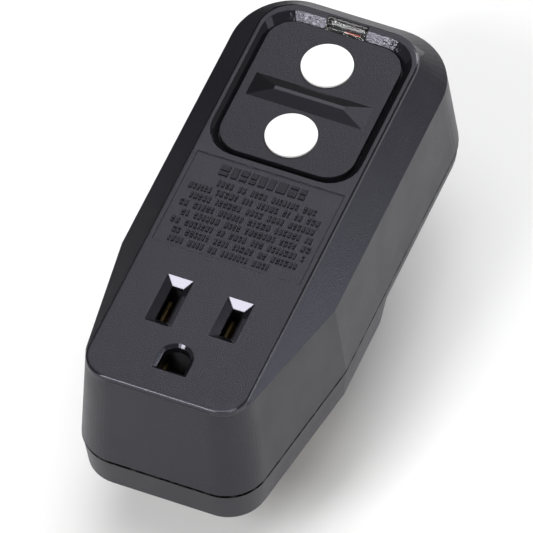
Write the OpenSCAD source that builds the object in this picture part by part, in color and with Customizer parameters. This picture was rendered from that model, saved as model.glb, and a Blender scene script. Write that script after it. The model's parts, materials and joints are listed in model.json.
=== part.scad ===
// Plug-in ground-fault interrupter adapter: a two-part housing with a three-slot outlet on the
// front, a two-button pad, an indicator window, and a grounded plug on the back.
// X is the width, Y the length towards the buttons, Z points out of the front face.
// The origin is midway between the two plug blades, on the plane of the back face.

/* [Housing] */
// Width across the housing at the parting line
body_w = 46.8; // [46:0.1:48]
// Distance from the blades to the outlet end of the housing
near_len = 36.2; // [36:0.1:40]
// Distance from the blades to the button end of the housing
far_len = 65.8; // [65.6:0.1:70]
// Height of the front face above the back face
face_z = 32.5; // [32.5:0.1:34]
// Height of the parting line above the back face
part_z = 7.7; // [7.4:0.1:7.9]
// Wall thickness of both housing parts
wall = 2; // [1.8:0.1:2.1]
// Width of the raised face
face_w = 33.1; // [33:0.1:34]
// Height of the raised face above the sloping shoulders
face_step = 0.8; // [0.6:0.1:1]
// Inward slope of the side walls towards the outlet end, in mm per mm
side_taper = 0.162; // [0.15:0.002:0.176]

/* [Outlet] */
// Distance between the centres of the two slots
slot_gap = 12.7; // [12.7:0.1:12.8]
// Distance of the slots from the plug blades along the housing
slot_back = 13.5; // [13.2:0.1:14.2]
// Distance from the slots to the ground hole, and from the blades to the ground pin
ground_back = 11.9; // [11.9:0.1:12]
// Length of the longer, neutral slot
neutral_slot_l = 8.2; // [8:0.1:8.4]
// Length of the shorter, line slot
line_slot_l = 6.6; // [6.5:0.1:6.8]
// Width of both slots
slot_w = 2.3; // [2.2:0.1:2.4]
// Radius of the ground hole
ground_r = 2.8; // [2.78:0.01:2.9]
// Depth of the slots' flared mouths
mouth_depth = 1.3; // [1:0.1:1.4]

/* [Plug] */
// Thickness of a blade
blade_t = 1.5; // [1.4:0.1:1.6]
// Width of a blade
blade_w = 6.35; // [6.2:0.05:6.4]
// Length of a blade beyond the back face
blade_l = 17.5; // [16:0.1:18]
// Radius of the ground pin
pin_r = 2.4; // [2.35:0.01:2.42]
// Length of the ground pin beyond the back face
pin_l = 20.6; // [20:0.1:21]

/* [Controls] */
// Radius of the two push buttons
button_r = 5.1; // [5:0.01:5.3]
// Position of the test button along the housing
test_y = 30.7; // [30.6:0.1:30.8]
// Position of the reset button along the housing
reset_y = 48.5; // [48.4:0.1:48.6]
// Height of the ridge between the buttons
ridge_h = 1.1; // [0.8:0.1:1.3]

/* [Hidden] */
$fn = 48;
eps = 0.01;

// Colours
BLACK = [0.11, 0.11, 0.12];
DARK = [0.17, 0.17, 0.18];
WHITE = [0.96, 0.96, 0.95];
RED = [0.80, 0.14, 0.10];
CLEAR = [0.85, 0.90, 0.92, 0.5];
BRASS = [0.78, 0.62, 0.30];
STEEL = [0.70, 0.71, 0.73];
COPPER = [0.72, 0.40, 0.22];
NATURAL = [0.86, 0.83, 0.74];
BOARD = [0.10, 0.36, 0.20];

// Housing heights and outlines
inner_z = face_z - wall - 0.1;
shoulder_z = face_z - face_step;
slot_y = -slot_back;
hole_y = slot_y - ground_back;
face_near = -near_len + 2;
face_far = far_len - 5.4;
shoulder_slope = 1.07;
near_r = 8.5;
far_r = 12.5;
face_near_r = 5.5;
face_edge = 0.6;
face_far_r = 7.4;
fold_y = -0.7;
draft = 2;
arc_steps = 12;

// Mouths of the outlet
mouth_extra_w = 3.1;
mouth_extra_l = 3.3;
ground_flat = 2.75;
hole_flare = 0.7;
hole_mouth = 0.6;

// Buttons, pad and recess
pad_w = 27.4;
pad_near = 23.8;
pad_far = 56.5;
pad_r = 5.4;
pad_top = face_z - 0.6;
pad_bottom = face_z - 3.2;
pad_gap = 0.25;
recess_slope = 1.45;
recess_depth = 1.6;
recess_far_extra = 0.6;
pad_flange = 1.1;
ridge_y = 39.65;
ridge_l = 24.2;
ridge_w = 5.6;
ridge_crest_l = 14.4;
ridge_crest_w = 0.8;
cap_top = pad_top + 0.4;
flange_r = 6.5;
flange_t = 1;
flange_top = pad_bottom - 0.05;
flange_z = flange_top - flange_t;
stem_r = 2;
fit = 0.07;

// Text panel on the face
panel_w = 30.2;
panel_near = -1.45;
panel_far = 20.95;
panel_depth = 0.25;

// Indicator window
window_w = 8;
window_gap = 0.12;
window_near = 56.75;
window_far = 59.5;
window_top = face_z + 0.25;
window_lip = 1.2;
window_wall = 0.6;

// Back cover
far_back_z = 4.8;
groove = 0.3;
seam_inset = 0.15;
near_taper = 0.8;
far_taper = 0.4;
lip_gap = 0.15;
head_gap = 0.15;
blade_gap = 0.05;
step_near = 21;
step_far = 24.2;
step_r = 3;
cover_boss_r = 3.4;
near_head_z = 0.5;
far_head_z = far_back_z + 0.4;
far_boss_z = part_z + 0.5;
lip = 1.6;
lip_t = 1;
screw_r = 1.25;
head_r = 2.4;
head_h = 1.4;
screw_l = 12;
boss_r = 2.7;
NEAR_SCREWS = [[-14.6, -25], [14.6, -25]];
FAR_SCREWS = [[-16, 58], [16, 58]];
cross_l = 2.6;
cross_w = 0.6;
standoff_x = 13;
standoff_r = 1.8;
STANDOFFS = [[14, 1], [54, part_z - 1]];

// Plug and outlet contacts
blade_tip = 1.6;
blade_hole_z = -12;
blade_hole_r = 1.6;
tab_top = 8.2;
pin_collar = 0.8;
rivet_r = 1.8;
rivet_gap = 0.02;
carrier_half = 12;
carrier_near = -17;
carrier_far = 5.5;
carrier_top = 6;
block_half = 11.2;
block_near = -32;
block_far = -7;
block_z = 12.4;
block_floor = 13.4;
leaf_t = 0.6;
leaf_width = 7;
leaf_gap = 1.6;
leaf_tail = 0.5;
ground_leaf_width = 4.4;
ground_leaf_gap = 4.5;
ground_leaf_tail = 0.8;
leaf_z = 14;
leaf_bend_z = 25.2;
leaf_top = 26.8;
leaf_splay = 0.35;
foot_top = 14.1;
tail_top = 13.6;
strap_t = 0.8;

// Board and mechanism
board_z = 8.5;
board_top = 10.1;
board_w = 37;
board_near = 4;
board_far = 61;
board_step = 54.8;
boss_gap = 0.2;
plate_z = 20.5;
plate_top = 22;
core_y = 11;
core_case_r = 9.6;
core_hole_r = 3;
core_case_z = 24.5;
hub_z = 14.5;
hub_top = 18;
strip_t = 0.6;
contact_gap = 0.05;
terminal_z = 19.05;
terminal_t = 0.8;
contact_x = 11;
contact_reach = 4.3;
plunger_z = 14.4;
plunger_tail = 29;
latch_z = 13.6;
latch_t = 0.7;
latch_half_slot = 1.6;
latch_half_hole = 2.05;
shank_r = 1.5;
pin_head_r = 1.9;
pin_head_top = latch_z - 0.9;
flag_near = 57.6;
flag_far = 58.6;
flag_z = 30.3;
coil_near = 25.5;
coil_far = 40;
lead_r = 0.9;
bus_x = 16;
bus_t = 0.7;
bus_z = 10.9;
bus_top = 13.6;
plate_half = 12.6;
plate_post_x = 11.2;
plate_post_r = 1.2;
bobbin_r = 4.1;
bobbin_flange = 0.8;
core_wall = 1;
core_room = 5.4;
bridge_z = 24.3;
bridge_t = 0.5;
button_spring_r = 3.2;
button_wire_r = 0.3;

// --- Outlines ---

// How far the walls lean inwards at height z
function lean(z) = draft * (z - part_z) / (face_z - part_z);

// Half of the housing's width, at position y and height z
function half_w(y, z) = body_w / 2 - lean(z) - side_taper * max(0, fold_y - y);

// Points of an arc
function arc(cx, cy, r, from, to, steps) =
    [for (i = [0 : steps]) let (a = from + (to - from) * i / steps)
        [cx + r * cos(a), cy + r * sin(a)]];

// Plan outline of the housing at height z, moved inwards by an inset
function body_plan(z, inset, far_cut = 0, corner = far_r) =
    let (rn = near_r - 0.5 * lean(z) - inset,
         rf = max(corner - 0.5 * lean(z) - inset, 1),
         yn = -near_len + lean(z) + inset,
         yf = far_len - 0.8 * lean(z) - inset - far_cut,
         hw = half_w(far_len, z) - inset,
         lean_a = atan(side_taper),
         xn = half_w(yn + rn, z) - inset - rn / cos(lean_a),
         right = concat(
             arc(xn, yn + rn, rn, -90, -lean_a, arc_steps),
             [[hw, fold_y]],
             arc(hw - rf, yf - rf, rf, 0, 90, arc_steps)))
    concat(right, [for (i = [len(right) - 1 : -1 : 0]) [-right[i][0], right[i][1]]]);

// Plan outline of the raised face, grown outwards
function face_plan(grow) =
    let (rn = face_near_r + max(grow, -1),
         rf = face_far_r + grow,
         hw = face_w / 2 + grow,
         yn = face_near - grow,
         yf = face_far + grow,
         right = concat(
             arc(hw - rn, yn + rn, rn, -90, 0, arc_steps),
             arc(hw - rf, yf - rf, rf, 0, 90, arc_steps)))
    concat(right, [for (i = [len(right) - 1 : -1 : 0]) [-right[i][0], right[i][1]]]);

// Plan outline of a rounded rectangle of half-width hw
function round_plan(hw, near, far, r) =
    concat(
        arc(hw - r, near + r, r, -90, 0, 6), arc(hw - r, far - r, r, 0, 90, 6),
        arc(-hw + r, far - r, r, 90, 180, 6), arc(-hw + r, near + r, r, 180, 270, 6));

// Outline of a rectangle centred on x, y
function box_plan(x, y, w, l) =
    [[x + w / 2, y - l / 2], [x + w / 2, y + l / 2], [x - w / 2, y + l / 2],
     [x - w / 2, y - l / 2]];

// D-shaped outline: round towards the slots, flat on the outer side
function d_plan(r, flat) = concat([[-r, -flat], [r, -flat]], arc(0, 0, r, 0, 180, 14));

// --- Solids from outlines ---

// Solid between outlines of equal length, one at each height
module loft(plans, heights) {
    n = len(plans[0]);
    last = len(plans) - 1;
    points = [for (k = [0 : last]) for (p = plans[k]) [p[0], p[1], heights[k]]];
    sides = [for (k = [0 : last - 1]) for (i = [0 : n - 1])
        [k * n + i, (k + 1) * n + i, (k + 1) * n + (i + 1) % n, k * n + (i + 1) % n]];
    floor_face = [for (i = [0 : n - 1]) i];
    roof_face = [for (i = [n - 1 : -1 : 0]) last * n + i];
    polyhedron(points, concat([floor_face, roof_face], sides), convexity = 6);
}

// Upright plate with rounded corners
module plate(hw, near, far, r, z0, z1) {
    translate([0, 0, z0]) linear_extrude(z1 - z0) {
        translate([-hw, near + r]) square([2 * hw, far - near - 2 * r]);
        translate([-hw + r, near]) square([2 * hw - 2 * r, far - near]);
        for (x = [-hw + r, hw - r], y = [near + r, far - r]) translate([x, y]) circle(r);
    }
}

// Box from its two opposite corners
module span(a, b) {
    translate(a) cube(b - a);
}

module post(x, y, r, z0, z1) {
    translate([x, y, z0]) cylinder(r = r, h = z1 - z0);
}

// Cylinder along Y
module rod_y(x, z, r, y0, y1) {
    translate([x, y0, z]) rotate([-90, 0, 0]) cylinder(r = r, h = y1 - y0);
}

// Ring of n points of radius r around p, square to direction d
function ring(p, d, r, n) =
    let (side = norm(cross(d, [0, 0, 1])) > 0.2 ? cross(d, [0, 0, 1]) : cross(d, [0, 1, 0]),
         u = side / norm(side),
         v = cross(u, d / norm(d)))
    [for (i = [0 : n - 1]) p + r * (u * cos(360 * i / n) + v * sin(360 * i / n))];

// Tube of radius r swept along a path
module tube(path, r, n = 8) {
    last = len(path) - 1;
    dirs = [for (k = [0 : last]) path[min(k + 1, last)] - path[max(k - 1, 0)]];
    points = [for (k = [0 : last]) each ring(path[k], dirs[k], r, n)];
    sides = [for (k = [0 : last - 1]) for (i = [0 : n - 1])
        [k * n + i, k * n + (i + 1) % n, (k + 1) * n + (i + 1) % n, (k + 1) * n + i]];
    start = [for (i = [n - 1 : -1 : 0]) i];
    end = [for (i = [0 : n - 1]) last * n + i];
    polyhedron(points, concat([start, end], sides), convexity = 8);
}

// Coil spring along Z, between z0 and z1
module coil(x, y, z0, z1, r, wire, turns) {
    steps = 14;
    rise = z1 - z0 - 2 * wire;
    path = [for (i = [0 : turns * steps])
        [x + r * cos(360 * i / steps), y + r * sin(360 * i / steps),
         z0 + wire + rise * i / (turns * steps)]];
    tube(path, wire, 6);
}

// --- Housing ---

// Drafted body cut by the sloping shoulders, from z0 to z1, moved inwards by an inset
module body_form(z0, z1, inset) {
    shoulder_inset = inset * sqrt(1 + shoulder_slope * shoulder_slope);
    intersection() {
        loft([body_plan(z0, inset), body_plan(z1, inset)], [z0, z1]);
        loft(
            [for (z = [z0, z1]) face_plan(shoulder_slope * (shoulder_z - z) - shoulder_inset)],
            [z0, z1]);
    }
}

module housing_outside() {
    body_form(part_z, shoulder_z, 0);
    loft(
        [face_plan(0), face_plan(0), face_plan(-0.3 * face_edge), face_plan(-face_edge)],
        [shoulder_z - 0.5, face_z - face_edge, face_z - 0.3 * face_edge, face_z]);
}

module slot_cut(x, l) {
    span([x - slot_w / 2, slot_y - l / 2, inner_z - 1],
        [x + slot_w / 2, slot_y + l / 2, face_z]);
    loft(
        [box_plan(x, slot_y, slot_w, l),
         box_plan(x, slot_y, slot_w + mouth_extra_w, l + mouth_extra_l)],
        [face_z - mouth_depth, face_z + eps]);
}

module ground_cut() {
    translate([0, hole_y, 0]) {
        translate([0, 0, inner_z - 1]) linear_extrude(face_z - inner_z + 1) {
            polygon(d_plan(ground_r, ground_flat));
        }
        loft(
            [d_plan(ground_r, ground_flat), d_plan(ground_r + hole_flare, ground_flat + hole_flare)],
            [face_z - hole_mouth, face_z + eps]);
    }
}

module recess_cut() {
    hw = pad_w / 2 + pad_gap;
    near = pad_near - pad_gap;
    far = pad_far + pad_gap;
    loft(
        [round_plan(hw, near, far, pad_r), round_plan(hw, near, far, pad_r),
         round_plan(hw + recess_slope, near - recess_slope, far + recess_slope + recess_far_extra,
             pad_r + 1)],
        [inner_z - 1, face_z - recess_depth, face_z + eps]);
    span([-window_w / 2 - window_gap, pad_far, inner_z - 1],
        [window_w / 2 + window_gap, window_far + window_gap, face_z + 1]);
}

module panel_cut() {
    span([-panel_w / 2, panel_near, face_z - panel_depth], [panel_w / 2, panel_far, face_z + 1]);
}

module front_housing() {
    color(BLACK) difference() {
        housing_outside();
        difference() {
            body_form(part_z - 1, inner_z, wall);
            for (p = NEAR_SCREWS) post(p[0], p[1], boss_r, part_z - 2, face_z);
            for (p = FAR_SCREWS) post(p[0], p[1], boss_r, far_boss_z, face_z);
        }
        for (p = concat(NEAR_SCREWS, FAR_SCREWS)) {
            post(p[0], p[1], screw_r + 0.02, part_z - 1, part_z + 14);
        }
        slot_cut(-slot_gap / 2, neutral_slot_l);
        slot_cut(slot_gap / 2, line_slot_l);
        ground_cut();
        recess_cut();
        panel_cut();
    }
}

// Deep part of the cover behind the outlet, and the shallow part behind the buttons
module cover_outside() {
    loft(
        [body_plan(part_z, near_taper, far_len - step_near, step_r + 1),
         body_plan(part_z, seam_inset, far_len - step_far, step_r)],
        [0, part_z - groove]);
    loft(
        [body_plan(part_z, far_taper), body_plan(part_z, seam_inset)],
        [far_back_z, part_z - groove]);
    translate([0, 0, part_z - 1]) linear_extrude(1) polygon(body_plan(part_z, 1));
}

module back_cover() {
    color(DARK) difference() {
        union() {
            difference() {
                union() {
                    cover_outside();
                    translate([0, 0, part_z - eps]) linear_extrude(lip)
                        polygon(body_plan(part_z + lip, wall + lip_gap));
                }
                translate([0, 0, part_z]) linear_extrude(10)
                    polygon(body_plan(part_z + lip, wall + lip_gap + lip_t));
                for (p = NEAR_SCREWS) post(p[0], p[1], boss_r + boss_gap, part_z, part_z + 9);
                translate([0, 0, wall]) linear_extrude(10)
                    polygon(body_plan(part_z, 2 * wall, far_len - step_near + wall, step_r + 2));
                translate([0, 0, far_back_z + wall]) linear_extrude(10)
                    polygon(body_plan(part_z, 2 * wall));
            }
            for (p = NEAR_SCREWS) post(p[0], p[1], boss_r, wall - eps, part_z);
            for (p = FAR_SCREWS) post(p[0], p[1], cover_boss_r, part_z - 1, far_boss_z);
            for (x = [-standoff_x, standoff_x], s = STANDOFFS) {
                post(x, s[0], standoff_r, s[1], board_z);
            }
        }
        for (p = NEAR_SCREWS) {
            post(p[0], p[1], head_r + head_gap, -1, head_h + near_head_z);
            post(p[0], p[1], screw_r + head_gap, -1, part_z + 1);
        }
        for (p = FAR_SCREWS) {
            post(p[0], p[1], head_r + head_gap, far_back_z - 1, far_head_z + head_h);
            post(p[0], p[1], screw_r + head_gap, far_back_z - 1, far_boss_z + 1);
        }
        for (x = [-slot_gap / 2, slot_gap / 2]) {
            span([x - blade_t / 2 - blade_gap, -blade_w / 2 - blade_gap, -1],
                [x + blade_t / 2 + blade_gap, blade_w / 2 + blade_gap, wall + 1]);
        }
        post(0, -ground_back, pin_r + pin_collar + blade_gap, -1, wall + 1);
    }
}

module screw(x, y, z) {
    difference() {
        union() {
            post(x, y, head_r, z, z + head_h);
            post(x, y, screw_r, z + head_h - eps, z + head_h + screw_l);
        }
        translate([x, y, z]) {
            cube([cross_l, cross_w, head_h], center = true);
            cube([cross_w, cross_l, head_h], center = true);
        }
    }
}

module cover_screws() {
    color(STEEL) {
        for (p = NEAR_SCREWS) screw(p[0], p[1], near_head_z);
        for (p = FAR_SCREWS) screw(p[0], p[1], far_head_z);
    }
}

// --- Pad and window ---

module ridge() {
    crest_z = pad_top + ridge_h;
    base = [ridge_l / 2, ridge_w / 2];
    crest = [ridge_crest_l / 2, ridge_crest_w / 2];
    corners = [[1, -1], [1, 1], [-1, 1], [-1, -1]];
    loft(
        [[for (c = corners) [c[0] * base[0], ridge_y + c[1] * base[1]]],
         [for (c = corners) [c[0] * base[0], ridge_y + c[1] * base[1]]],
         [for (c = corners) [c[0] * crest[0], ridge_y + c[1] * crest[1]]]],
        [pad_top - 0.5, pad_top, crest_z]);
}

module button_pad() {
    color(DARK) difference() {
        union() {
            plate(pad_w / 2, pad_near, pad_far, pad_r, pad_bottom, pad_top);
            plate(pad_w / 2 + pad_flange, pad_near - pad_flange, board_step, 1.5, pad_bottom,
                inner_z - 0.1);
            ridge();
        }
        for (y = [test_y, reset_y]) post(0, y, button_r + fit, pad_bottom - 1, face_z + 2);
    }
}

// Clear window with a slanted front, hollow below for the flag
module indicator_window() {
    profile = [
        [window_near, inner_z], [window_far, inner_z], [window_far, face_z - 0.1],
        [window_far - 0.3, window_top], [window_near + 2.1, window_top],
        [window_near, face_z - 1.25]
    ];
    color(CLEAR) difference() {
        union() {
            translate([-window_w / 2, 0, 0]) rotate([90, 0, 90]) linear_extrude(window_w)
                polygon(profile);
            span([-window_w / 2 - window_lip, window_near, inner_z - 0.9],
                [window_w / 2 + window_lip, window_near + 2.2, inner_z]);
        }
        span([-3.2, window_near + window_wall, inner_z - 1],
            [3.2, window_far - window_wall, face_z - 0.9]);
    }
}

// --- Plug ---

module blade(x) {
    half = blade_w / 2;
    translate([x - blade_t / 2, 0, 0]) rotate([90, 0, 90]) linear_extrude(blade_t)
        difference() {
            polygon([
                [-half, tab_top], [-half, -blade_l + blade_tip], [-half + blade_tip, -blade_l],
                [half - blade_tip, -blade_l], [half, -blade_l + blade_tip], [half, tab_top]
            ]);
            translate([0, blade_hole_z]) circle(blade_hole_r);
        }
}

module line_blade() {
    color(BRASS) blade(slot_gap / 2);
}

module neutral_blade() {
    color(BRASS) blade(-slot_gap / 2);
}

module ground_pin() {
    color(BRASS) {
        post(0, -ground_back, pin_r, -pin_l + pin_r, 0);
        translate([0, -ground_back, -pin_l + pin_r]) sphere(pin_r);
        post(0, -ground_back, pin_r + pin_collar, 0, wall + 0.5);
        post(0, -ground_back, rivet_r, wall, 9);
    }
}

module blade_carrier() {
    color(NATURAL) difference() {
        plate(carrier_half, carrier_near, carrier_far, 1.5, wall + 0.05, carrier_top);
        for (x = [-slot_gap / 2, slot_gap / 2]) {
            span([x - blade_t / 2 - rivet_gap, -blade_w / 2 - rivet_gap, 0],
                [x + blade_t / 2 + rivet_gap, blade_w / 2 + rivet_gap, 10]);
        }
        post(0, -ground_back, pin_r + pin_collar + blade_gap, 0, wall + 0.55);
        post(0, -ground_back, rivet_r + rivet_gap, 0, 10);
    }
}

// --- Outlet contacts ---

module contact_block() {
    color(NATURAL) difference() {
        plate(block_half, block_near, block_far, 1, block_z, inner_z - 0.05);
        for (x = [-slot_gap / 2, slot_gap / 2]) {
            span([x - 2.3, slot_y - 4.6, block_floor], [x + 2.3, slot_y + 4.6, face_z]);
            span([x - 1.5, slot_y - 4, 12], [x + 1.5, slot_y + 4, face_z]);
        }
        span([-3.3, hole_y - 2.9, block_floor], [3.3, hole_y + 2.9, face_z]);
        span([-2.2, hole_y - 2.5, 12], [2.2, hole_y + 2.5, face_z]);
    }
}

// Two springy leaves on a foot that goes down through the block
module leaf_contact(x, y, gap, width, tail_x) {
    inner = gap / 2;
    outer = inner + leaf_t;
    for (s = [-1, 1]) {
        translate([x, y + width / 2, 0]) rotate([90, 0, 0]) linear_extrude(width) polygon([
            [s * inner, leaf_z], [s * outer, leaf_z], [s * outer, leaf_bend_z],
            [s * (outer + leaf_splay), leaf_top], [s * (inner + leaf_splay), leaf_top],
            [s * inner, leaf_bend_z]
        ]);
    }
    span([x - outer, y - width / 2, tail_top - 0.1], [x + outer, y + width / 2, foot_top]);
    span([x - tail_x, y - width / 2, bus_z], [x + tail_x, y + width / 2, tail_top]);
}

module line_contact() {
    color(BRASS) leaf_contact(slot_gap / 2, slot_y, leaf_gap, leaf_width, leaf_tail);
}

module neutral_contact() {
    color(BRASS) leaf_contact(-slot_gap / 2, slot_y, leaf_gap, leaf_width, leaf_tail);
}

module ground_contact() {
    color(BRASS)
        leaf_contact(0, hole_y, ground_leaf_gap, ground_leaf_width, ground_leaf_tail);
}

// Strap from the ground pin to the ground contact
module ground_strap() {
    color(BRASS) difference() {
        span([-2.6, hole_y - 2.4, bus_z - strap_t], [2.6, -ground_back + 2.6, bus_z]);
        post(0, -ground_back, rivet_r + blade_gap, 0, 20);
    }
    color(BRASS) difference() {
        post(0, -ground_back, 2.5, 9.02, bus_z - strap_t + eps);
        post(0, -ground_back, 1.2, 0, 20);
    }
}

// Block from side * xa to side * xb, on the side given as 1 or -1
module on_side(side, xa, xb, y, z) {
    span([min(side * xa, side * xb), y[0], z[0]], [max(side * xa, side * xb), y[1], z[1]]);
}

// Strip from a switched terminal along the side wall to an outlet contact
module bus(side) {
    outer = bus_x + bus_t;
    on_side(side, slot_gap / 2 + 0.52, outer, [slot_y - 2, slot_y + 2], [bus_z, bus_z + bus_t]);
    on_side(side, bus_x, outer, [slot_y - 2, 54], [bus_z, bus_top]);
    on_side(side, bus_x, 17, [51.6, 54], [bus_z, bus_top]);
}

module line_bus() {
    color(BRASS) bus(1);
}

module neutral_bus() {
    color(BRASS) bus(-1);
}

// --- Board and sensing cores ---

module circuit_board() {
    color(BOARD) difference() {
        union() {
            span([-board_w / 2, board_near, board_z], [board_w / 2, board_step, board_top]);
            span([-12, board_step - eps, board_z], [12, board_far, board_top]);
        }
        post(0, core_y, 4, 0, 20);
        post(0, reset_y, 2.6, 0, 20);
    }
}

module core_case() {
    color(NATURAL) difference() {
        post(0, core_y, core_case_r, board_top, core_case_z);
        post(0, core_y, core_hole_r, 0, 40);
        for (z = [board_top + 1, board_top + 8]) {
            difference() {
                post(0, core_y, core_case_r - core_wall, z, z + core_room);
                post(0, core_y, core_hole_r + core_wall, z - 1, z + 7);
            }
        }
    }
}

module toroid(z) {
    difference() {
        post(0, core_y, core_case_r - 1.2, z + 0.2, z + 5.2);
        post(0, core_y, core_hole_r + 1.2, z - 1, z + 7);
    }
}

module sense_core() {
    color(COPPER) toroid(board_top + 1);
}

module neutral_core() {
    color(COPPER) toroid(board_top + 8);
}

// Insulated lead from a blade, through the cores, to a terminal; side is 1 or -1
module lead(side) {
    route = [
        [6.35, 3.18, 7.1], [6.35, 4.4, 7.1], [5.6, 6.4, 7.0], [4.0, 8.4, 7.0], [2.2, 10.0, 7.4],
        [1.35, 10.9, 9.2], [1.3, 11.0, 12], [1.3, 11.0, 18], [1.3, 11.0, 23.5],
        [1.9, 11.2, 25.6], [3.8, 12.0, 26.7], [6.8, 13.5, 26.6], [9.8, 15.6, 25.4],
        [12.2, 18.2, 23.0], [13.5, 21.2, 19.8], [14.4, 24.6, 17.2], [15.6, 29.0, 15.8],
        [16.6, 34.0, 15.4], [17.3, 38.0, 15.3], [17.4, 40.5, 15.3], [17.4, 42.59, 15.3]
    ];
    tube([for (p = route) [side * p[0], p[1], p[2]]], lead_r, 8);
}

module line_lead() {
    color(BLACK) lead(1);
}

module neutral_lead() {
    color(WHITE) lead(-1);
}

// --- Switching mechanism ---

module mechanism_frame() {
    color(DARK) {
        difference() {
            plate(plate_half, 23.6, 56, 1.5, plate_z, plate_top);
            for (y = [test_y, reset_y]) post(0, y, stem_r + fit, 0, 40);
        }
        for (p = [[plate_post_x, 24.9], [6.6, 54.7]], s = [-1, 1]) {
            post(s * p[0], p[1], plate_post_r, board_top, plate_z + eps);
        }
    }
}

// Pair of fixed contacts above the bridge, each on its own leg
module terminals(side) {
    for (y = [reset_y - contact_reach, reset_y + contact_reach]) {
        on_side(side, 9.4, 17.8, [y - 1.6, y + 1.6], [terminal_z, terminal_z + terminal_t]);
        on_side(side, 17, 17.8, [y - 1.6, y + 1.6], [board_top, terminal_z + eps]);
    }
}

module line_terminals() {
    color(BRASS) terminals(1);
}

module neutral_terminals() {
    color(BRASS) terminals(-1);
}

module solenoid_frame() {
    color(STEEL) difference() {
        union() {
            span([-5, coil_near - 1, board_top], [5, coil_near, 19.4]);
            span([-5, coil_far, board_top], [5, coil_far + 1, 19.4]);
            span([-5, coil_near - 1, 18.8], [5, coil_far + 1, 19.4]);
        }
        rod_y(0, plunger_z, 1.7, coil_far - 1, coil_far + 2);
    }
}

module solenoid_bobbin() {
    color(NATURAL) difference() {
        union() {
            rod_y(0, plunger_z, 2.2, coil_near + 0.05, coil_far - 0.05);
            for (y = [coil_near + 0.05, coil_far - 0.05 - bobbin_flange]) {
                rod_y(0, plunger_z, bobbin_r, y, y + bobbin_flange);
            }
        }
        rod_y(0, plunger_z, 1.68, coil_near - 1, coil_far + 1);
    }
}

module solenoid_coil() {
    color(COPPER) difference() {
        rod_y(0, plunger_z, 3.8, coil_near + 0.9, coil_far - 0.9);
        rod_y(0, plunger_z, 2.22, coil_near, coil_far);
    }
}

module plunger() {
    color(STEEL) {
        rod_y(0, plunger_z, 1.6, plunger_tail, coil_far + 0.9);
        rod_y(0, plunger_z, 1.1, coil_far + 0.85, 43.4);
    }
}

// Light spring that pulls the plunger back, between its tail and the frame's end wall
module plunger_spring() {
    color(STEEL) translate([0, 0, plunger_z]) rotate([-90, 0, 0])
        coil(0, 0, coil_near, plunger_tail, 1.2, 0.16, 4);
}

// Bridge carrier that slides on the reset pin, with the riser for the flag
module contact_carriage() {
    color(DARK) difference() {
        union() {
            span([-4.5, reset_y - 4.4, hub_z], [4.5, reset_y + 4.4, hub_top]);
            span([-13, reset_y - 2, 15], [13, reset_y + 2, hub_top - strip_t]);
            span([-1.6, reset_y + 4.3, 15], [1.6, flag_far, 17]);
            span([-2.9, flag_near, 15], [2.9, flag_far, flag_z]);
            for (s = [-1, 1]) {
                span([min(s * 3.15, s * 4.5), reset_y - 4.4, 13],
                    [max(s * 3.15, s * 4.5), reset_y + 4.4, hub_z + eps]);
                span([min(s * 2.5, s * 3.2), reset_y - 4.4, 13],
                    [max(s * 2.5, s * 3.2), reset_y + 4.4, 13.4]);
            }
        }
        post(0, reset_y, stem_r + fit, 0, 40);
        span([-1.5, reset_y - 5, 10], [1.5, reset_y - 3, hub_top + 1]);
    }
}

// Bridge strips with a contact button at each end
module moving_contacts() {
    color(BRASS) for (s = [-1, 1]) {
        span([s * contact_x - 1.8, reset_y - contact_reach - 1.4, hub_top - strip_t],
            [s * contact_x + 1.8, reset_y + contact_reach + 1.4, hub_top]);
        for (y = [reset_y - contact_reach, reset_y + contact_reach]) {
            post(s * contact_x, y, 1.3, hub_top - eps, terminal_z - contact_gap);
        }
    }
}

module indicator_flag() {
    color(RED) span([-0.3, flag_near, flag_z], [2.9, flag_far, 31.1]);
}

module carriage_spring() {
    color(STEEL) coil(0, reset_y, hub_top, plate_z, 2.7, 0.25, 3);
}

// Sliding plate with a narrow slot that catches under the hub above the pin's head
module latch_plate() {
    shift = 0.8;
    color(STEEL) difference() {
        union() {
            span([-3, 44.4, latch_z], [3, 52.6, latch_z + latch_t]);
            span([-2.3, 43.8, 12.2], [2.3, 44.5, latch_z + latch_t]);
        }
        translate([0, 0, latch_z - 1]) linear_extrude(latch_t + 2) {
            translate([-latch_half_slot, reset_y - shift])
                square([2 * latch_half_slot, shift + 0.1]);
            translate([0, reset_y + 0.1]) circle(latch_half_slot);
            for (y = [reset_y - shift, reset_y - 2 * shift]) {
                translate([0, y]) circle(latch_half_hole);
            }
            translate([-latch_half_hole, reset_y - 2 * shift])
                square([2 * latch_half_hole, shift]);
        }
    }
}

// --- Buttons ---

module cap(y) {
    post(0, y, button_r, flange_z, cap_top);
    post(0, y, flange_r, flange_z, flange_top);
}

module test_button() {
    color(WHITE) {
        cap(test_y);
        post(0, test_y, stem_r, plate_z + 0.6, flange_z + eps);
        post(5.5, test_y, 0.8, bridge_z + bridge_t, flange_z + eps);
    }
}

module test_bridge() {
    color(BRASS)
        span([4.7, test_y - 3.6, bridge_z], [6.3, test_y + 3.6, bridge_z + bridge_t]);
}

module test_contacts() {
    color(BRASS) for (y = [test_y - 2.8, test_y + 2.8]) {
        span([4.8, y - 0.8, plate_top], [13.4, y + 0.8, 22.4]);
        span([13, y - 0.8, board_top], [13.4, y + 0.8, 22.4]);
        post(5.5, y, 0.7, 22.39, 22.75);
    }
}

module test_spring() {
    color(STEEL) coil(0, test_y, plate_top, flange_z, button_spring_r, button_wire_r, 6);
}

module reset_button() {
    color(WHITE) difference() {
        cap(reset_y);
        post(0, reset_y, stem_r, flange_z - 1, flange_z + 2.5);
    }
}

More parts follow.
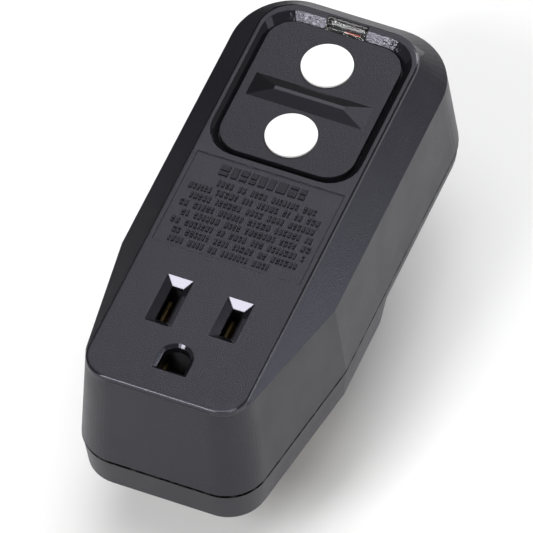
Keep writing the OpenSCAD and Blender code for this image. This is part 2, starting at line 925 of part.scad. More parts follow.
module reset_pin() {
    color(STEEL) {
        post(0, reset_y, stem_r, 16, flange_z + 2.5);
        post(0, reset_y, shank_r, pin_head_top - eps, 16 + eps);
        post(0, reset_y, pin_head_r, pin_head_top - 1.5, pin_head_top);
    }
}

module reset_spring() {
    color(STEEL) coil(0, reset_y, plate_top, flange_z, button_spring_r, button_wire_r, 6);
}

// --- Electronic parts on the board ---

module varistor() {
    color([0.16, 0.28, 0.62]) {
        translate([-14, 9, 14.6]) rotate([0, 90, 0]) cylinder(r = 3.7, h = 2.6);
        for (y = [6.5, 11.5]) post(-12.7, y, 0.35, board_top, 13);
    }
}

module film_capacitor() {
    color([0.72, 0.60, 0.16]) span([10.4, 5, board_top], [15.2, 14, 16.6]);
}

module storage_capacitor() {
    color([0.12, 0.14, 0.20]) post(-11.2, 20.6, 2.4, board_top, 17);
}

module controller_chip() {
    color(DARK) {
        span([7.4, 28.4, board_top + 0.3], [11, 33, board_top + 1.8]);
        for (i = [0 : 3]) {
            span([6.6, 28.7 + i * 1.1, board_top], [11.8, 29.1 + i * 1.1, board_top + 0.6]);
        }
    }
}

module thyristor() {
    color(DARK) {
        difference() {
            post(9.6, 37.4, 2.2, board_top + 1.4, board_top + 5.4);
            span([7, 38.6, board_top], [12.4, 41, board_top + 7]);
        }
        for (x = [8.4, 9.6, 10.8]) post(x, 37.4, 0.25, board_top, board_top + 1.5);
    }
}

// Body lying along Y, with its two bent leads
module axial(x, y, r, l) {
    rod_y(x, board_top + r + 0.1, r, y, y + l);
    for (end = [y - 0.8, y + l + 0.8]) post(x, end, 0.25, board_top, board_top + r + 0.35);
    rod_y(x, board_top + r + 0.1, 0.25, y - 1.05, y + l + 1.05);
}

module resistors() {
    color([0.78, 0.68, 0.50]) for (x = [-13, -10.4, -7.8]) axial(x, 29, 0.9, 4);
}

module diodes() {
    color(DARK) for (x = [-12.6, -9.4]) axial(x, 37, 1.1, 3.6);
}

front_housing();
back_cover();
cover_screws();
button_pad();
indicator_window();
blade_carrier();
line_blade();
neutral_blade();
ground_pin();
contact_block();
line_contact();
neutral_contact();
ground_contact();
ground_strap();
line_bus();
neutral_bus();
circuit_board();
core_case();
sense_core();
neutral_core();
line_lead();
neutral_lead();
mechanism_frame();
line_terminals();
neutral_terminals();
solenoid_frame();
solenoid_bobbin();
solenoid_coil();
plunger();
plunger_spring();
contact_carriage();
moving_contacts();
indicator_flag();
carriage_spring();
latch_plate();
test_button();
test_bridge();
test_contacts();
test_spring();
reset_button();
reset_pin();
reset_spring();
varistor();
film_capacitor();
storage_capacitor();
controller_chip();
thyristor();
resistors();
diodes();
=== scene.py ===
import json
import math
import random
import bpy
import bmesh
from mathutils import Matrix, Vector


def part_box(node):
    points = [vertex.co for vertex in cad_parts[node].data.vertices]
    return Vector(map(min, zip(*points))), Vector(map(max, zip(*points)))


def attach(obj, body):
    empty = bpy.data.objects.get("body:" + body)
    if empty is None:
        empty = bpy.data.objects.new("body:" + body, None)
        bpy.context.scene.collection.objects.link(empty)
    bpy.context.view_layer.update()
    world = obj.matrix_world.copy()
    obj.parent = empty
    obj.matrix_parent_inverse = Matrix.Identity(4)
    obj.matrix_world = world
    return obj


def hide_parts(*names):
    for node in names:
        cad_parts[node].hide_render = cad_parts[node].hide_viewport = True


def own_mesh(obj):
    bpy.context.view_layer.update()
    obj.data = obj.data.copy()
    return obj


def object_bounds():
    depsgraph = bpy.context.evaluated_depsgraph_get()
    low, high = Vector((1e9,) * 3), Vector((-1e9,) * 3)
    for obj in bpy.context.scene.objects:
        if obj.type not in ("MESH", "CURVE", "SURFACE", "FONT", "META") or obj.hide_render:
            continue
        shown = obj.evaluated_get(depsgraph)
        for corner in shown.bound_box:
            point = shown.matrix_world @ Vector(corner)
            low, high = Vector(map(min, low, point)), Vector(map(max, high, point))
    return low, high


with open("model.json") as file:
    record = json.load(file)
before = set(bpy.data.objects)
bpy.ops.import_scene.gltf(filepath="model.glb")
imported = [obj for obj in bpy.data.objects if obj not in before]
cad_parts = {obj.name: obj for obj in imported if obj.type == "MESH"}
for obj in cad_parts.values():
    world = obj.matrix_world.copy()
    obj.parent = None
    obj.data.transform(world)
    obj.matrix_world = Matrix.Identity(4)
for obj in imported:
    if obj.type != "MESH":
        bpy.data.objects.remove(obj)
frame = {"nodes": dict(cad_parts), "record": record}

# Looks of a plug-in ground-fault interrupter: its camera, finishes, panel rows and studio.
# Places on the part are in millimetres, and the studio's are in metres.

MM = 0.001
CAD_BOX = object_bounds()
NODES = frame["nodes"]


def corners_mm(node):
    """The lowest and the highest corner of a CAD node, in millimetres."""
    return [tuple(v / MM for v in corner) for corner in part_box(node)]


def add_object(name, data):
    """A new object in the scene, made of a mesh, a lamp or a camera."""
    made = bpy.data.objects.new(name, data)
    bpy.context.scene.collection.objects.link(made)
    return made


# --- Camera: the viewing angle of a product picture, far away with a long lens ---

CAMERA_AZIMUTH = math.radians(26.1)
CAMERA_ELEVATION = math.radians(53.65)
CAMERA_ROLL = math.radians(-4.1)
CAMERA_DISTANCE = 1.98
CAMERA_LENS = 709.0
SENSOR_WIDTH = 36.0
CLIP_START = 0.05
CLIP_END = 20.0
# The point that the camera faces, and how far the camera then slides across its own view
VIEW_CENTRE = Vector((0.0, 0.001, 0.0275))
VIEW_SIDEWAYS = 0.0066
VIEW_UP = 0.0002


def make_camera():
    """Places the camera by azimuth, elevation and roll round the point that it faces."""
    az, el, roll = CAMERA_AZIMUTH, CAMERA_ELEVATION, CAMERA_ROLL
    back = Vector((math.sin(az) * math.cos(el), -math.cos(az) * math.cos(el), math.sin(el)))
    right = Vector((math.cos(az), math.sin(az), 0.0))
    up = back.cross(right)
    right_rolled = math.cos(roll) * right + math.sin(roll) * up
    up_rolled = -math.sin(roll) * right + math.cos(roll) * up
    place = VIEW_CENTRE + back * CAMERA_DISTANCE
    place += right_rolled * VIEW_SIDEWAYS + up_rolled * VIEW_UP
    data = bpy.data.cameras.new("camera")
    data.lens = CAMERA_LENS
    data.sensor_width = SENSOR_WIDTH
    data.clip_start = CLIP_START
    data.clip_end = CLIP_END
    camera = add_object("camera", data)
    axes = Matrix((right_rolled, up_rolled, back)).transposed().to_4x4()
    camera.matrix_world = Matrix.Translation(place) @ axes
    bpy.context.scene.camera = camera


make_camera()

# --- Colours of the finishes, linear ---

HOUSING_BLACK = (0.0135, 0.0127, 0.0162)
COVER_BLACK = (0.0160, 0.0152, 0.0190)
PAD_BLACK = (0.0112, 0.0106, 0.0134)
COOL_GLOSS = (0.88, 0.86, 1.0, 1.0)
# Painted shadow: the colour of the dark band along the seam between the case halves
SEAM_SHADOW_COLOUR = (0.003, 0.003, 0.003)
NATURAL = (0.62, 0.58, 0.47)
BRASS = (0.72, 0.53, 0.24)
TARNISH = (0.42, 0.27, 0.12)
STEEL = (0.56, 0.56, 0.57)
ENAMEL = (0.50, 0.17, 0.06)
# Painted shade: the darker colour of the enamel in the creases between turns of wire
ENAMEL_CREASE_SHADE = (0.10, 0.03, 0.012)
BAND_COLOURS = ((0.25, 0.10, 0.03), (0.02, 0.02, 0.02), (0.55, 0.12, 0.02), (0.5, 0.36, 0.12))
WHITE = (1.0, 1.0, 1.0)

# --- Zones of the case that look different, as boxes in mm set out from the CAD's own ---

(LEFT, NEAR, PARTING), (RIGHT, FAR, FACE) = corners_mm("front_housing")
(PAD_LEFT, PAD_NEAR, _), (PAD_RIGHT, PAD_FAR, PAD_TOP) = corners_mm("button_pad")
WINDOW_FAR = corners_mm("indicator_window")[1][1]
PANEL_FLOOR = FACE - 0.25
BELOW_FACE = FACE - 0.04
RECESS_FOOT = FACE - 2.5
# Corners that clear the case on every side
CLEAR_LOW = (LEFT - 1.0, NEAR - 1.0)
CLEAR_HIGH = (RIGHT + 1.0, FAR + 1.0)

OUTLET_OPENINGS = ((-11.0, -31.0, FACE - 4.5), (11.0, -8.0, FACE - 0.08))
FACE_RIM = ((*CLEAR_LOW, FACE - 0.65), (*CLEAR_HIGH, BELOW_FACE))
RECESS_WALLS = ((PAD_LEFT - 0.8, PAD_NEAR - 0.9, RECESS_FOOT),
                (PAD_RIGHT + 0.8, WINDOW_FAR, BELOW_FACE))
RECESS_FAR_WALL = ((-11.5, PAD_FAR + 0.1, RECESS_FOOT), (11.5, WINDOW_FAR, BELOW_FACE))
PANEL = ((-15.2, -1.5, PANEL_FLOOR - 0.05), (15.2, 21.0, PANEL_FLOOR + 0.05))
RIDGE = ((-12.3, 36.7, FACE - 0.58), (12.3, 42.6, PAD_TOP + 0.2))
SEAM_ABOVE = ((*CLEAR_LOW, PARTING - 0.1), (*CLEAR_HIGH, PARTING + 0.35))
SEAM_BELOW = ((*CLEAR_LOW, PARTING - 0.6), (*CLEAR_HIGH, PARTING - 0.25))

# Polished faces: their roughness, and their brightness as a share of the grained plastic's
POLISHED_ROUGHNESS = 0.14
POLISHED_DEPTH = 0.5
# Stippled wall: the size of its lumps, and their height as a multiple of the grain's
STIPPLE_SIZE = 0.3
STIPPLE_HEIGHT = 0.9

# --- Finishes: one node tree per material, built from a few shared moves ---

# How alike the eased and the true normal are where an edge's mask starts, and where it is full
EDGE_START = 0.995
EDGE_FULL = 0.86
BEVEL_SAMPLES = 6


class Finish:
    """A material and its node tree. Sizes are in millimetres on the object."""

    def __init__(self, name):
        self.material = bpy.data.materials.new(name + "_finish")
        self.material.use_nodes = True
        self.nodes = self.material.node_tree.nodes
        self.links = self.material.node_tree.links
        self.shader = self.nodes["Principled BSDF"]
        self.place = self.add("ShaderNodeTexCoord").outputs["Object"]

    def add(self, kind, **settings):
        """A new node of one kind, with its settings by name."""
        node = self.nodes.new(kind)
        for key, value in settings.items():
            setattr(node, key, value)
        return node

    def feed(self, socket, source):
        """Links a socket to another, or sets it to a number or colour."""
        if isinstance(source, bpy.types.NodeSocket):
            self.links.new(source, socket)
        else:
            socket.default_value = source

    def fixed(self, **sockets):
        """Sets shader sockets that are the same all over, by name with _ for a space."""
        for key, value in sockets.items():
            self.shader.inputs[key.replace("_", " ")].default_value = value

    def math(self, operation, a, b=0.0, c=0.0):
        """The result of one Math node on numbers or sockets."""
        node = self.add("ShaderNodeMath", operation=operation)
        for socket, source in zip(node.inputs, (a, b, c)):
            self.feed(socket, source)
        return node.outputs[0]

    def stretched(self, stretch):
        """Object position scaled along each axis, for grain that runs one way."""
        node = self.add("ShaderNodeMapping")
        node.inputs["Scale"].default_value = stretch
        self.feed(node.inputs["Vector"], self.place)
        return node.outputs[0]

    def noise(self, size, detail=2.0, where=None):
        """Cloudy noise from 0 to 1, with patches of about one size."""
        node = self.add("ShaderNodeTexNoise")
        node.inputs["Scale"].default_value = 1.0 / (size * MM)
        node.inputs["Detail"].default_value = detail
        self.feed(node.inputs["Vector"], where or self.place)
        return node.outputs["Fac"]

    def spots(self, size):
        """Distance from the nearest of many scattered points."""
        node = self.add("ShaderNodeTexVoronoi")
        node.inputs["Scale"].default_value = 1.0 / (size * MM)
        self.feed(node.inputs["Vector"], self.place)
        return node.outputs["Distance"]

    def between(self, value, low, high, to_low=0.0, to_high=1.0):
        """Maps low..high onto to_low..to_high, held at both ends."""
        node = self.add("ShaderNodeMapRange", clamp=True)
        for socket, source in zip(node.inputs, (value, low, high, to_low, to_high)):
            self.feed(socket, source)
        return node.outputs[0]

    def colour(self, factor, first, second):
        """The first colour where factor is 0, and the second where it is 1."""
        node = self.add("ShaderNodeMix", data_type="RGBA")
        self.feed(node.inputs["Factor"], factor)
        for socket, source in zip(node.inputs[6:8], (first, second)):
            linked = isinstance(source, bpy.types.NodeSocket)
            self.feed(socket, source if linked else (*source, 1.0))
        return node.outputs[2]

    def axis(self, letter):
        """The object position along one axis, in metres."""
        node = self.add("ShaderNodeSeparateXYZ")
        self.feed(node.inputs[0], self.place)
        return node.outputs[letter]

    def inside(self, low, high):
        """1 inside a box and 0 outside it, between two corners in millimetres."""
        result = 1.0
        for letter, start, end in zip("XYZ", low, high):
            middle = (start + end) / 2 * MM
            half = (end - start) / 2 * MM
            away = self.math("ABSOLUTE", self.math("SUBTRACT", self.axis(letter), middle))
            result = self.math("MULTIPLY", result, self.math("LESS_THAN", away, half))
        return result

    def darkened(self, colour, value):
        """A colour socket at a share of its brightness."""
        node = self.add("ShaderNodeHueSaturation")
        node.inputs["Value"].default_value = value
        self.feed(node.inputs["Color"], colour)
        return node.outputs[0]

    def inside_any(self, boxes):
        """1 inside at least one of the boxes, and 0 elsewhere."""
        result = 0.0
        for box in boxes:
            result = self.math("MAXIMUM", result, self.inside(*box))
        return result

    def facing(self, letter):
        """How far the surface faces along an axis, from -1 to 1."""
        node = self.add("ShaderNodeSeparateXYZ")
        self.feed(node.inputs[0], self.add("ShaderNodeNewGeometry").outputs["True Normal"])
        return node.outputs[letter]

    def rounded(self, radius):
        """The surface normal with every edge eased to a radius, and a mask of those edges."""
        bevel = self.add("ShaderNodeBevel", samples=BEVEL_SAMPLES)
        bevel.inputs["Radius"].default_value = radius * MM
        flat = self.add("ShaderNodeNewGeometry").outputs["Normal"]
        likeness = self.add("ShaderNodeVectorMath", operation="DOT_PRODUCT")
        self.feed(likeness.inputs[0], bevel.outputs[0])
        self.feed(likeness.inputs[1], flat)
        mask = self.between(likeness.outputs["Value"], EDGE_START, EDGE_FULL)
        return bevel.outputs[0], mask

    def bump(self, height, depth, normal):
        """A normal roughened by a height from 0 to 1, over the given one or the surface's own."""
        node = self.add("ShaderNodeBump")
        node.inputs["Distance"].default_value = depth * MM
        self.feed(node.inputs["Height"], height)
        if normal is not None:
            self.feed(node.inputs["Normal"], normal)
        return node.outputs[0]

    def set(self, base=None, roughness=None, normal=None):
        """Feeds the shader's colour, roughness and normal, leaving out what isn't given."""
        for key, source in (("Base Color", base), ("Roughness", roughness), ("Normal", normal)):
            if source is not None:
                self.feed(self.shader.inputs[key], source)


def shade(colour, factor):
    """A constant colour made darker or lighter."""
    return tuple(min(1.0, channel * factor) for channel in colour)


def moulded(name, colour, rough=0.45, grain=0.26, depth=0.09, edge=0.18, speckle=0.6,
            specular=0.5, worn=1.6):
    """Moulded plastic: spark-eroded grain, faint flow marks, and edges rubbed smoother and paler.
    Keeps what it was made from in grained, for polish() and seam() to change."""
    f = Finish(name)
    f.fixed(Specular_IOR_Level=specular, Specular_Tint=COOL_GLOSS)
    fine = f.noise(grain, 5.0)
    flow = f.noise(9.0, 3.0)
    rubs = f.noise(1.3, 4.0)
    normal, edges = f.rounded(edge)
    edges = f.math("MULTIPLY", edges, f.between(rubs, 0.35, 0.6, 0.25, 1.0))
    dark, light = shade(colour, 1 - speckle), shade(colour, 1 + speckle)
    base = f.colour(f.between(fine, 0.3, 0.7), dark, light)
    base = f.colour(f.between(flow, 0.35, 0.65), base, shade(colour, 1.06))
    base = f.colour(edges, base, shade(colour, worn))
    uneven = f.between(flow, 0.3, 0.7, rough - 0.03, rough + 0.05)
    roughness = f.between(edges, 0.0, 1.0, uneven, rough * 0.62)
    f.set(base, roughness, f.bump(fine, depth, normal))
    f.grained = (base, roughness, fine, normal, depth, specular)
    return f


def polish(f, smooth, polished_gloss, stippled=0.0):
    """Takes the grain off a moulded finish where smooth is 1, which leaves it deeper and glossier,
    and adds a coarse pattern where stippled is 1."""
    base, roughness, fine, normal, depth, specular = f.grained
    base = f.colour(smooth, base, f.darkened(base, POLISHED_DEPTH))
    specular = f.between(smooth, 0.0, 1.0, specular, polished_gloss)
    roughness = f.between(smooth, 0.0, 1.0, roughness, POLISHED_ROUGHNESS)
    fine = f.math("MULTIPLY", fine, f.math("SUBTRACT", 1.0, smooth))
    height = f.math("MULTIPLY", stippled, STIPPLE_HEIGHT)
    coarse = f.math("MULTIPLY", f.noise(STIPPLE_SIZE, 1.0), height)
    f.set(base, roughness, f.bump(f.math("ADD", fine, coarse), depth, normal))
    f.grained = (base, roughness, fine, normal, depth, specular)
    return f


def seam(f, box):
    """Painted shadow: a dark band, with its gloss taken away, along the line where the two halves of
    the case meet, standing for the shade in the groove between them.
    """
    base, specular = f.grained[0], f.grained[-1]
    # Painted shadow over the seam band, a little uneven along its length
    shadow_band = f.math("MULTIPLY", f.inside(*box), f.between(f.noise(1.5, 3.0), 0.3, 0.5, 0.75, 1.0))
    f.set(f.colour(shadow_band, base, SEAM_SHADOW_COLOUR))
    f.feed(f.shader.inputs["Specular IOR Level"], f.between(shadow_band, 0.0, 1.0, specular, 0.0))
    return f


def housing_plastic():
    """Grained housing with the polished faces of its mould, and a stippled wall by the window."""
    f = moulded("housing_plastic", HOUSING_BLACK, rough=0.38, edge=0.3, specular=0.35)
    off_panel = f.math("SUBTRACT", 1.0, f.inside(*PANEL))
    smooth = f.math("MULTIPLY", f.inside_any((OUTLET_OPENINGS, FACE_RIM, RECESS_WALLS)), off_panel)
    return seam(polish(f, smooth, 0.7, f.inside(*RECESS_FAR_WALL)), SEAM_ABOVE)


def cover_plastic():
    """Grained back cover, a little paler than the housing."""
    f = moulded("cover_plastic", COVER_BLACK, rough=0.40, edge=0.25, specular=0.36)
    return seam(f, SEAM_BELOW)


def pad_plastic():
    """Grained pad whose ridge is polished on every slope but the one at its right end."""
    f = moulded("pad_plastic", PAD_BLACK, rough=0.38, specular=0.28)
    off_end = f.math("LESS_THAN", f.facing("X"), 0.1)
    f = polish(f, f.math("MULTIPLY", f.inside(*RIDGE), off_end), 0.3)
    f.feed(f.shader.inputs["Specular IOR Level"], f.grained[-1])
    return f


def polished_white(name, colour):
    """Smooth white button plastic with a slightly soft body and fine handling marks."""
    f = Finish(name)
    f.fixed(Subsurface_Weight=0.15, Subsurface_Scale=0.6 * MM, Specular_IOR_Level=0.5)
    haze = f.noise(3.5, 3.0)
    marks = f.noise(0.5, 5.0, f.stretched((1.0, 0.12, 1.0)))
    normal, edges = f.rounded(0.3)
    base = f.colour(f.between(haze, 0.3, 0.7), colour, shade(colour, 0.975))
    base = f.colour(f.math("MULTIPLY", edges, 0.5), base, shade(colour, 0.93))
    f.set(base, f.between(marks, 0.3, 0.75, 0.24, 0.36), f.bump(marks, 0.002, normal))
    return f


def lens(name):
    """Clear moulded lens with faint moulding ripples and hazed edges."""
    f = Finish(name)
    f.fixed(Transmission_Weight=1.0, IOR=1.49)
    ripple = f.noise(2.2, 2.0)
    normal, edges = f.rounded(0.12)
    base = f.colour(edges, (0.97, 0.98, 0.985), (0.86, 0.88, 0.9))
    roughness = f.between(edges, 0.0, 1.0, f.between(ripple, 0.3, 0.7, 0.02, 0.06), 0.25)
    f.set(base, roughness, f.bump(ripple, 0.008, normal))
    return f


def brushed(name, colour, tarnish, rough=0.3, stretch=(1.0, 0.05, 0.05), line=0.05, blotch=2.5):
    """Rolled or drawn metal: fine lines one way, tarnish in patches, brighter rubbed edges."""
    f = Finish(name)
    f.fixed(Metallic=1.0)
    lines = f.noise(line, 3.0, f.stretched(stretch))
    patches = f.noise(blotch, 4.0)
    normal, edges = f.rounded(0.1)
    base = f.colour(f.between(patches, 0.42, 0.68), colour, tarnish)
    base = f.colour(f.math("MULTIPLY", edges, 0.7), base, shade(colour, 1.2))
    roughness = f.between(lines, 0.25, 0.75, rough - 0.07, rough + 0.09)
    f.set(base, roughness, f.bump(lines, 0.004, normal))
    return f


def plated(name, colour, rough=0.34):
    """Zinc plate: small crystal facets of slightly different tone over a smooth base."""
    f = Finish(name)
    f.fixed(Metallic=1.0)
    crystals = f.spots(0.8)
    haze = f.noise(3.0, 4.0)
    normal, edges = f.rounded(0.12)
    base = f.colour(f.between(crystals, 0.1, 0.6), shade(colour, 1.08), shade(colour, 0.86))
    base = f.colour(f.math("MULTIPLY", edges, 0.6), base, shade(colour, 1.25))
    roughness = f.between(haze, 0.3, 0.7, rough - 0.08, rough + 0.1)
    f.set(base, roughness, f.bump(crystals, 0.003, normal))
    return f


WEAVE_PITCH = 0.5


def laminate(name, coat, thread):
    """Coated circuit board: glass weave showing faintly through a green coat."""
    f = Finish(name)
    f.fixed(Coat_Weight=0.4, Coat_Roughness=0.15)
    turn_per_metre = 2 * math.pi / (WEAVE_PITCH * MM)
    warp = f.math("SINE", f.math("MULTIPLY", f.axis("X"), turn_per_metre))
    weft = f.math("SINE", f.math("MULTIPLY", f.axis("Y"), turn_per_metre))
    weave = f.between(f.math("MULTIPLY", warp, weft), -1.0, 1.0)
    cloud = f.noise(6.0, 3.0)
    base = f.colour(weave, coat, thread)
    base = f.colour(f.between(cloud, 0.35, 0.7), base, shade(coat, 0.8))
    f.set(base, f.between(cloud, 0.3, 0.7, 0.28, 0.4), f.bump(weave, 0.006, None))
    return f


def wound(name, colour, gap, turn):
    """Enamelled wire laid in turns, darker between them as painted shade in the creases: turn makes
    the socket that counts them across the winding.
    """
    f = Finish(name)
    f.fixed(Coat_Weight=0.5, Coat_Roughness=0.12, Metallic=0.6)
    ripple = f.between(f.math("SINE", f.math("MULTIPLY", turn(f), 2 * math.pi)), -1.0, 1.0)
    tone = f.noise(1.4, 3.0)
    base = f.colour(ripple, gap, colour)
    base = f.colour(f.between(tone, 0.4, 0.7), base, shade(colour, 0.75))
    f.set(base, f.between(tone, 0.3, 0.7, 0.25, 0.42), f.bump(ripple, 0.09, None))
    return f


def around(node, turns):
    """Counts turns by angle round a ring node's centre."""
    low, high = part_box(node)
    middle = (low + high) / 2

    def count(f):
        x = f.math("SUBTRACT", f.axis("X"), middle.x)
        y = f.math("SUBTRACT", f.axis("Y"), middle.y)
        return f.math("MULTIPLY", f.math("ARCTAN2", y, x), turns / (2 * math.pi))
    return count


def along(letter, pitch):
    """Counts turns laid side by side along an axis."""
    def count(f):
        return f.math("MULTIPLY", f.axis(letter), 1.0 / (pitch * MM))
    return count


def dipped(name, colour, rough=0.22, coat=0.6):
    """Dipped or shrunk coating: gloss with orange peel and slow colour drift."""
    f = Finish(name)
    f.fixed(Coat_Weight=coat, Coat_Roughness=0.1)
    peel = f.noise(0.45, 2.0)
    drift = f.noise(4.0, 3.0)
    normal, edges = f.rounded(0.2)
    base = f.colour(f.between(drift, 0.35, 0.65), shade(colour, 0.86), shade(colour, 1.12))
    base = f.colour(f.math("MULTIPLY", edges, 0.4), base, shade(colour, 1.5))
    f.set(base, f.between(peel, 0.3, 0.7, rough, rough + 0.12), f.bump(peel, 0.012, normal))
    return f


# Half widths of a colour band as shares of its pitch: where it has faded out, and where it is full
BAND_OUTER = 0.32
BAND_INNER = 0.28


def banded(name, body, bands, start, pitch):
    """Axial resistor: a lacquered body with plain colour bands, the first at start along Y, in mm."""
    f = Finish(name)
    f.fixed(Coat_Weight=0.5, Coat_Roughness=0.12)
    peel = f.noise(0.4, 2.0)
    base = f.colour(f.between(peel, 0.3, 0.7), shade(body, 0.92), shade(body, 1.08))
    y = f.axis("Y")
    for i, band in enumerate(bands):
        middle = (start + i * pitch) * MM
        away = f.math("ABSOLUTE", f.math("SUBTRACT", y, middle))
        on_band = f.between(away, BAND_OUTER * pitch * MM, BAND_INNER * pitch * MM)
        base = f.colour(on_band, base, band)
    f.set(base, f.between(peel, 0.3, 0.7, 0.25, 0.38), f.bump(peel, 0.01, None))
    return f


# A finish for each material slot of the record
FINISHES = {
    "housing_plastic": housing_plastic(),
    "cover_plastic": cover_plastic(),
    "pad_plastic": pad_plastic(),
    "clear_plastic": lens("clear_plastic"),
    "button_white": polished_white("button_white", (0.93, 0.93, 0.92)),
    "flag_red": dipped("flag_red", (0.72, 0.05, 0.03), rough=0.3, coat=0.2),
    "natural_plastic": moulded("natural_plastic", NATURAL, rough=0.5, worn=1.15, speckle=0.04),
    "block_plastic": moulded("block_plastic", (0.03, 0.03, 0.032), rough=0.5),
    "frame_plastic": moulded("frame_plastic", (0.05, 0.05, 0.055), rough=0.48),
    "blade_brass": brushed("blade_brass", BRASS, TARNISH, rough=0.26, stretch=(1.0, 1.0, 0.04)),
    "contact_brass": brushed("contact_brass", shade(BRASS, 0.45), shade(TARNISH, 0.3), rough=0.4,
                             stretch=(1.0, 0.06, 0.3)),
    "screw_steel": plated("screw_steel", STEEL),
    "plated_steel": plated("plated_steel", shade(STEEL, 1.08), rough=0.3),
    "spring_steel": brushed("spring_steel", STEEL, shade(STEEL, 0.6), rough=0.22,
                            stretch=(0.3, 0.3, 1.0)),
    "board_laminate": laminate("board_laminate", (0.02, 0.13, 0.05), (0.05, 0.20, 0.08)),
    "black_insulation": moulded("black_insulation", (0.018, 0.018, 0.018), rough=0.38, grain=0.5),
    "white_insulation": moulded("white_insulation", (0.78, 0.77, 0.74), rough=0.38, grain=0.5,
                                speckle=0.03, worn=0.9),
    "varistor_epoxy": dipped("varistor_epoxy", (0.03, 0.08, 0.34)),
    "capacitor_yellow": dipped("capacitor_yellow", (0.58, 0.38, 0.05), rough=0.3, coat=0.3),
    "capacitor_sleeve": dipped("capacitor_sleeve", (0.02, 0.03, 0.07), rough=0.26),
    "chip_resin": moulded("chip_resin", (0.028, 0.028, 0.03), rough=0.55, grain=0.1, depth=0.02),
    "resistor_body": banded("resistor_body", (0.55, 0.40, 0.20), BAND_COLOURS, 29.7, 0.8),
}
# Nodes with wire in turns, whose finish follows their own shape
WINDINGS = {
    "sense_core": wound("sense_winding", ENAMEL, ENAMEL_CREASE_SHADE, around("sense_core", 90)),
    "neutral_core": wound("neutral_winding", ENAMEL, ENAMEL_CREASE_SHADE, around("neutral_core", 70)),
    "solenoid_coil": wound("solenoid_winding", ENAMEL, ENAMEL_CREASE_SHADE, along("Y", 0.3)),
}


def dress_cad():
    """Gives every CAD node the finish of its material slot in the record."""
    slots = {part["node"]: part["material_slot"] for part in frame["record"]["subparts"]}
    for name, node in NODES.items():
        finish = WINDINGS.get(name) or FINISHES[slots[name]]
        for index in range(len(node.material_slots)):
            node.material_slots[index].material = finish.material


dress_cad()

# --- Raised rows on the sunk panel: plain blocks in place of words ---

# Heights in mm: the blocks' tops are level with the face, and their feet are sunk in the floor
ROW_TOP = FACE
SUNK = 0.03
BLOCK_DRAFT = 0.05
BLOCK_SEED = 7
SPLIT_CHANCE = 0.45
SPLIT_OFF_CENTRE = 0.12
# The fewest and the most blocks in a row's first word, and in each later one
FIRST_WORD = (2, 6)
LATER_WORD = (2, 7)
HEADING = {"start": -9.4, "end": 9.2, "y": 18.4, "height": 2.5, "widths": (1.3, 2.0), "gap": 0.45}
ROWS = {"height": 1.3, "widths": (0.42, 0.78), "gap": 0.26, "word_gap": 0.85}
ROW_FIRST_Y = 15.2
ROW_PITCH = 2.14
# Where each row starts and ends in X
ROW_SPANS = ((-8.6, 11.6), (-13.6, 13.9), (-12.4, 13.6), (-13.6, 13.9),
             (-12.4, 13.9), (-13.6, 13.6), (-12.4, 13.9), (-12.4, 8.6))


def add_block(bm, low, high):
    """A block with drafted sides between two corners in x and y, from the panel floor up."""
    rings = []
    for z, inset in ((PANEL_FLOOR - SUNK, 0.0), (ROW_TOP, BLOCK_DRAFT)):
        corners = ((low[0] + inset, low[1] + inset), (high[0] - inset, low[1] + inset),
                   (high[0] - inset, high[1] - inset), (low[0] + inset, high[1] - inset))
        rings.append([bm.verts.new((x * MM, y * MM, z * MM)) for x, y in corners])
    bottom, top = rings
    bm.faces.new(reversed(bottom))
    bm.faces.new(top)
    for i in range(4):
        j = (i + 1) % 4
        bm.faces.new((bottom[i], bottom[j], top[j], top[i]))


def add_row(bm, draw, start, end, y, height, widths, gap, word_gap=0.0):
    """Fills a row with blocks, some split into an upper and a lower part, and in words if asked."""
    x = start
    left = draw.randint(*FIRST_WORD)
    while x < end - widths[0]:
        width = min(draw.uniform(*widths), end - x)
        low, high = y - height / 2, y + height / 2
        if draw.random() < SPLIT_CHANCE:
            cut = y + draw.choice((-SPLIT_OFF_CENTRE, SPLIT_OFF_CENTRE)) * height
            add_block(bm, (x, low), (x + width, cut - gap / 2))
            add_block(bm, (x, cut + gap / 2), (x + width, high))
        else:
            add_block(bm, (x, low), (x + width, high))
        x += width + gap
        left -= 1
        if left == 0 and word_gap:
            x += word_gap
            left = draw.randint(*LATER_WORD)


def make_panel_rows():
    """One piece with a heading row of wide blocks and the rows below it."""
    draw = random.Random(BLOCK_SEED)
    bm = bmesh.new()
    add_row(bm, draw, **HEADING)
    for i, (start, end) in enumerate(ROW_SPANS):
        add_row(bm, draw, start, end, ROW_FIRST_Y - i * ROW_PITCH, **ROWS)
    mesh = bpy.data.meshes.new("panel_rows")
    bm.to_mesh(mesh)
    bm.free()
    # The blocks are darker than the housing plastic they are moulded in: painted shade standing for
    # the shadows along the raised strokes
    finish = moulded("panel_rows", shade(HOUSING_BLACK, 0.6), rough=0.36, edge=0.07, specular=0.22)
    mesh.materials.append(finish.material)
    rows = add_object("panel_rows", mesh)
    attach(rows, "housing")


make_panel_rows()

# --- Button springs: copies of the CAD's coils, carried by the housing ---

BUTTON_SPRINGS = {"test_press": "test_spring", "reset_press": "reset_spring"}


def make_button_springs():
    """Copies of the CAD's coils, each standing for one, carried by the housing in place of the hidden
    CAD coil.
    """
    for joint, node in BUTTON_SPRINGS.items():
        coil = add_object("pressed_" + node, NODES[node].data.copy())
        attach(coil, "housing")
        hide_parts(node)
        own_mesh(coil)


make_button_springs()

# --- Floor and studio light ---

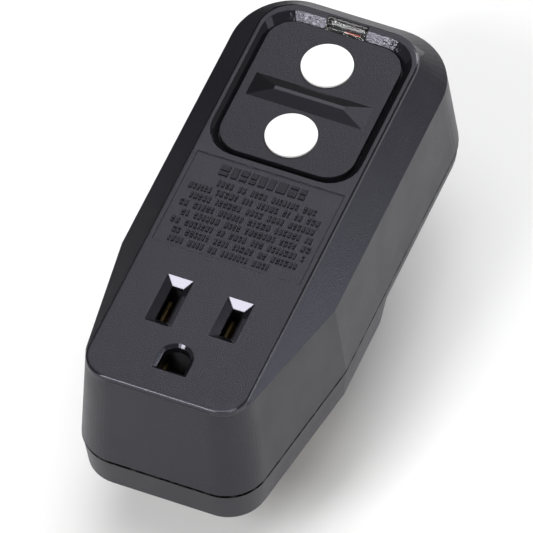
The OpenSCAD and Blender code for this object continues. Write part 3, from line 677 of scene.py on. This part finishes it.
FLOOR_GAP = 0.0002
FLOOR_HALF = 3.0
FLOOR_TONES = ((0.86, 0.86, 0.86), (0.9, 0.9, 0.9))
FLOOR_CLOUD = 60.0
CARD_CENTRE = (-0.085, 0.06, 0.02)
CARD_WIDTH = 0.16
CARD_HEIGHT = 0.08
CARD_TONES = ((0.004, 0.004, 0.004), (0.006, 0.006, 0.006))
CARD_CLOUD = 2.0
STUDIO_ROUGHNESS = 0.9
SUN_STRENGTH = 1.0
SUN_ANGLE = math.radians(40)
WORLD_LIGHT = 0.2
WORLD_SEEN = 0.6
# Name, place, width and height, power, colour, and whether it shows in gloss alone
LIGHTS = (
    ("front", (-0.29, -0.74, 0.76), (0.30, 0.40), 6.2, WHITE, False),
    ("front_right", (0.75, -0.62, 0.42), (0.45, 0.3), 2.4, WHITE, False),
    ("back_high", (0.05, 0.85, 0.65), (0.6, 0.4), 4.9, WHITE, False),
    ("back_top", (-0.15, 0.6, 0.92), (0.42, 0.42), 1.7, WHITE, False),
    ("right", (0.9, 0.1, 0.6), (0.4, 0.3), 0.3, WHITE, False),
    ("kicker", (0.152, 0.045, 0.072), (0.05, 0.05), 0.12, (0.88, 0.92, 1.0), True),
)


def area_light(name, place, size, power, colour, gloss_only):
    """A rectangular lamp that faces the origin and isn't seen itself."""
    data = bpy.data.lights.new(name, "AREA")
    data.shape = "RECTANGLE"
    data.size, data.size_y = size
    data.energy = power
    data.color = colour
    lamp = add_object(name, data)
    turn = (-Vector(place)).to_track_quat("-Z", "Y").to_matrix().to_4x4()
    lamp.matrix_world = Matrix.Translation(place) @ turn
    lamp.visible_camera = False
    lamp.visible_diffuse = not gloss_only


def sun_light():
    """Light straight down, the same all over the floor."""
    data = bpy.data.lights.new("overhead", "SUN")
    data.energy = SUN_STRENGTH
    data.angle = SUN_ANGLE
    add_object("overhead", data)


def stage_sheet(name, corners, cloud, tones):
    """A flat four-cornered piece of the studio, matt and faintly uneven."""
    mesh = bpy.data.meshes.new(name)
    mesh.from_pydata(corners, [], [(0, 1, 2, 3)])
    f = Finish(name)
    f.set(f.colour(f.noise(cloud), *tones), STUDIO_ROUGHNESS)
    mesh.materials.append(f.material)
    made = add_object(name, mesh)
    return made


def make_floor():
    """A wide floor just below the part's lowest point."""
    z = CAD_BOX[0][2] - FLOOR_GAP
    half = FLOOR_HALF
    corners = [(-half, -half, z), (half, -half, z), (half, half, z), (-half, half, z)]
    stage_sheet("floor", corners, FLOOR_CLOUD, FLOOR_TONES)


def make_black_card():
    """A black card beside the part, as a studio uses, that its left slope mirrors."""
    middle = Vector(CARD_CENTRE)
    across = Vector((middle.y, -middle.x, 0.0)).normalized() * CARD_WIDTH / 2
    rise = Vector((0.0, 0.0, CARD_HEIGHT / 2))
    corners = [middle - across - rise, middle + across - rise,
               middle + across + rise, middle - across + rise]
    card = stage_sheet("black_card", corners, CARD_CLOUD, CARD_TONES)
    for rays in ("visible_camera", "visible_diffuse", "visible_shadow", "visible_transmission"):
        setattr(card, rays, False)


def make_world():
    """A dim pale room for light, seen by the camera as a pale backdrop."""
    world = bpy.data.worlds.new("world")
    world.use_nodes = True
    tree = world.node_tree
    path = tree.nodes.new("ShaderNodeLightPath")
    level = tree.nodes.new("ShaderNodeMapRange")
    level.inputs["To Min"].default_value = WORLD_LIGHT
    level.inputs["To Max"].default_value = WORLD_SEEN
    background = tree.nodes["Background"]
    background.inputs["Color"].default_value = (*WHITE, 1.0)
    tree.links.new(path.outputs["Is Camera Ray"], level.inputs["Value"])
    tree.links.new(level.outputs[0], background.inputs["Strength"])
    bpy.context.scene.world = world


make_floor()
make_black_card()
make_world()
sun_light()
for light in LIGHTS:
    area_light(*light)
bpy.context.scene.view_settings.view_transform = "Standard"
